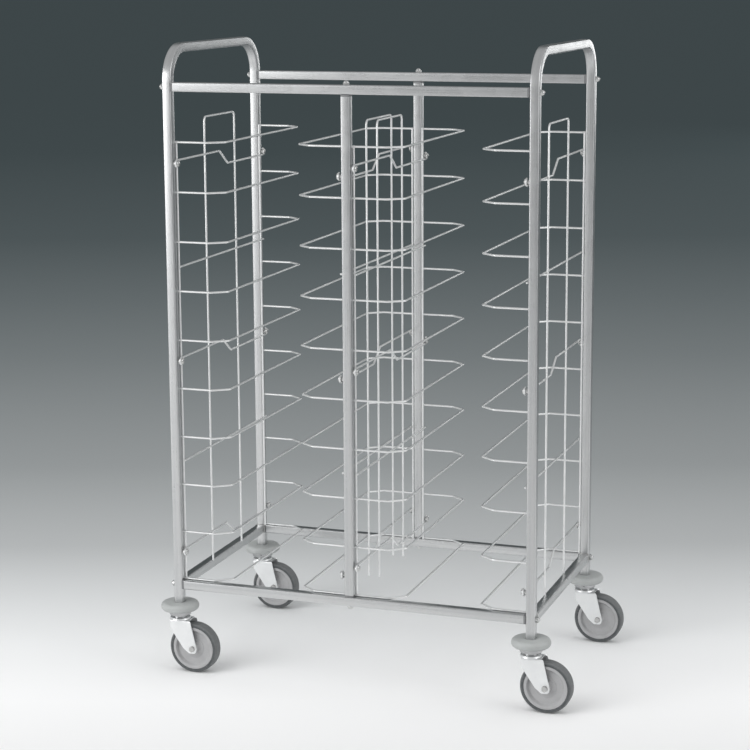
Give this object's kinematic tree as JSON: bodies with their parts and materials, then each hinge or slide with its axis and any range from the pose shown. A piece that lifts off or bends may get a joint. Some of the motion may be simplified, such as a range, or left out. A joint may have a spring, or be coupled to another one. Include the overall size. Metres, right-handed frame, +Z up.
{
  "type": "tray rack trolley",
  "caption": "Free-standing tray trolley: a square-tube frame with bent end handles, welded wire racks that hold trays in two bays, and swivel castors with round buffers.",
  "frame": {"origin": "on the floor under the middle of the overall space with the castors trailing to +X", "axes": "+X along the width, +Y from the front to the back, +Z up"},
  "size_m": [1.0483, 0.631, 1.548],
  "materials": {
    "stainless_tube": "satin stainless steel, polished along the tube",
    "stainless_wire": "bright electropolished wire",
    "rack_screw_steel": "polished screw head",
    "fastener_steel": "polished cap nut",
    "plug_plastic": "grey moulded plastic",
    "expander_rubber": "black moulded plastic",
    "castor_steel": "bright zinc plate",
    "axle_steel": "zinc-plated bolt",
    "buffer_plastic": "grey soft plastic",
    "wheel_core_plastic": "light grey moulded plastic",
    "tyre_rubber": "grey non-marking rubber"
  },
  "bodies": {
    "frame": {"bottom_rail_front": "stainless_tube", "bottom_rail_rear": "stainless_tube", "castor_buffers": "buffer_plastic", "castor_stems": "castor_steel", "end_tube_left": "stainless_tube", "end_tube_right": "stainless_tube", "frame_cap_nuts": "fastener_steel", "frame_studs": "fastener_steel", "middle_post_front": "stainless_tube", "middle_post_rear": "stainless_tube", "rack_centre_left_bars": "stainless_wire", "rack_centre_left_tray_supports": "stainless_wire", "rack_centre_left_uprights": "stainless_wire", "rack_centre_right_bars": "stainless_wire", "rack_centre_right_tray_supports": "stainless_wire", "rack_centre_right_uprights": "stainless_wire", "rack_left_bars": "stainless_wire", "rack_left_tray_supports": "stainless_wire", "rack_left_uprights": "stainless_wire", "rack_right_bars": "stainless_wire", "rack_right_tray_supports": "stainless_wire", "rack_right_uprights": "stainless_wire", "rack_screws": "rack_screw_steel", "side_rail_left": "stainless_tube", "side_rail_right": "stainless_tube", "top_rail_front": "stainless_tube", "top_rail_rear": "stainless_tube", "tube_expanders": "expander_rubber", "tube_plugs": "plug_plastic"},
    "castor_front_left": {"fork_front_left": "castor_steel", "axle_bolt_front_left": "axle_steel", "axle_nut_front_left": "axle_steel", "axle_sleeve_front_left": "axle_steel"},
    "wheel_front_left": {"wheel_core_front_left": "wheel_core_plastic", "tyre_front_left": "tyre_rubber"},
    "castor_front_right": {"fork_front_right": "castor_steel", "axle_bolt_front_right": "axle_steel", "axle_nut_front_right": "axle_steel", "axle_sleeve_front_right": "axle_steel"},
    "wheel_front_right": {"wheel_core_front_right": "wheel_core_plastic", "tyre_front_right": "tyre_rubber"},
    "castor_rear_left": {"fork_rear_left": "castor_steel", "axle_bolt_rear_left": "axle_steel", "axle_nut_rear_left": "axle_steel", "axle_sleeve_rear_left": "axle_steel"},
    "wheel_rear_left": {"wheel_core_rear_left": "wheel_core_plastic", "tyre_rear_left": "tyre_rubber"},
    "castor_rear_right": {"fork_rear_right": "castor_steel", "axle_bolt_rear_right": "axle_steel", "axle_nut_rear_right": "axle_steel", "axle_sleeve_rear_right": "axle_steel"},
    "wheel_rear_right": {"wheel_core_rear_right": "wheel_core_plastic", "tyre_rear_right": "tyre_rubber"}
  },
  "joints": [
    {"name": "castor_swivel_front_left", "type": "hinge", "parent": "frame", "child": "castor_front_left", "pos_m": [-0.47725, -0.2685, 0.15], "axis": [0, 0, 1], "continuous": true},
    {"name": "wheel_spin_front_left", "type": "hinge", "parent": "castor_front_left", "child": "wheel_front_left", "pos_m": [-0.43825, -0.2685, 0.0625], "axis": [0, 1, 0], "continuous": true},
    {"name": "castor_swivel_front_right", "type": "hinge", "parent": "frame", "child": "castor_front_right", "pos_m": [0.42275, -0.2685, 0.15], "axis": [0, 0, 1], "continuous": true},
    {"name": "wheel_spin_front_right", "type": "hinge", "parent": "castor_front_right", "child": "wheel_front_right", "pos_m": [0.46175, -0.2685, 0.0625], "axis": [0, 1, 0], "continuous": true},
    {"name": "castor_swivel_rear_left", "type": "hinge", "parent": "frame", "child": "castor_rear_left", "pos_m": [-0.47725, 0.2685, 0.15], "axis": [0, 0, 1], "continuous": true},
    {"name": "wheel_spin_rear_left", "type": "hinge", "parent": "castor_rear_left", "child": "wheel_rear_left", "pos_m": [-0.43825, 0.2685, 0.0625], "axis": [0, 1, 0], "continuous": true},
    {"name": "castor_swivel_rear_right", "type": "hinge", "parent": "frame", "child": "castor_rear_right", "pos_m": [0.42275, 0.2685, 0.15], "axis": [0, 0, 1], "continuous": true},
    {"name": "wheel_spin_rear_right", "type": "hinge", "parent": "castor_rear_right", "child": "wheel_rear_right", "pos_m": [0.46175, 0.2685, 0.0625], "axis": [0, 1, 0], "continuous": true}
  ]
}
